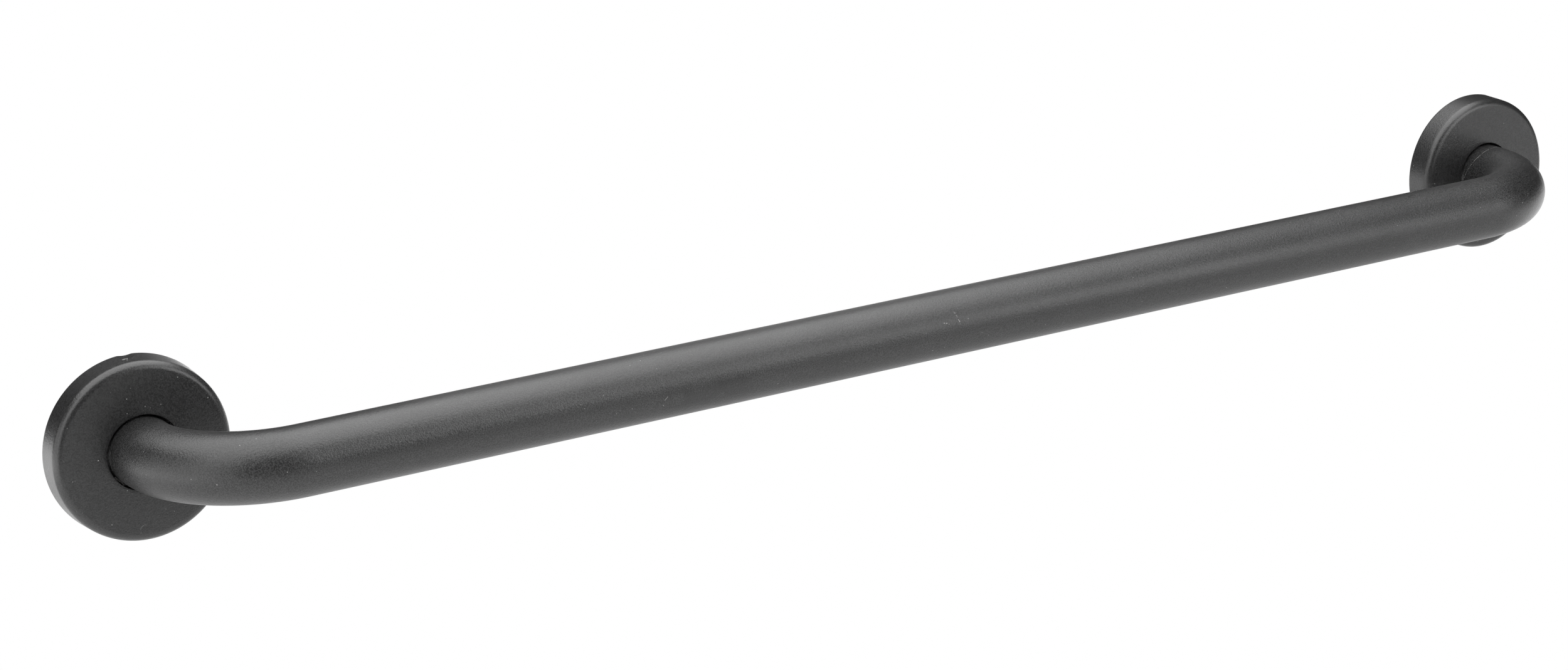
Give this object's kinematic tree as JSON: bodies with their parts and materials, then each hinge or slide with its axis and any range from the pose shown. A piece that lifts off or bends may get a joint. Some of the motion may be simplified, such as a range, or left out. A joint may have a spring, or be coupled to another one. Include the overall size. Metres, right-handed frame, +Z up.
{
  "type": "grab bar",
  "caption": "Straight tubular grab bar bent back to the wall at both ends, welded to hidden mounting plates, with loose round push-on covers over the fixings.",
  "frame": {"origin": "on the wall plane, midway between the two legs, at the centre of the four screw holes", "axes": "+X along the bar, +Y into the wall, +Z up; the bar stands out towards -Y"},
  "size_m": [0.8446, 0.0842, 0.0826],
  "materials": {
    "tube_coat": "fine-textured matte black powder coat on steel tube",
    "cover_coat": "fine-textured matte black powder coat on drawn sheet steel",
    "plate_steel": "thin matte black coat on steel plate",
    "weld_metal": "rippled fillet weld under the same black coat"
  },
  "bodies": {
    "bar": {"grab_tube": "tube_coat", "mounting_flange_left": "plate_steel", "mounting_flange_right": "plate_steel", "weld_bead_left": "weld_metal", "weld_bead_right": "weld_metal"},
    "cover_left": {"flange_cover_left": "cover_coat"},
    "cover_right": {"flange_cover_right": "cover_coat"}
  },
  "joints": [
    {"name": "cover_left_slide", "type": "slide", "parent": "bar", "child": "cover_left", "axis": [0, -1, 0], "range_m": [0, 0.011]},
    {"name": "cover_right_slide", "type": "slide", "parent": "bar", "child": "cover_right", "axis": [0, -1, 0], "range_m": [0, 0.011]}
  ]
}
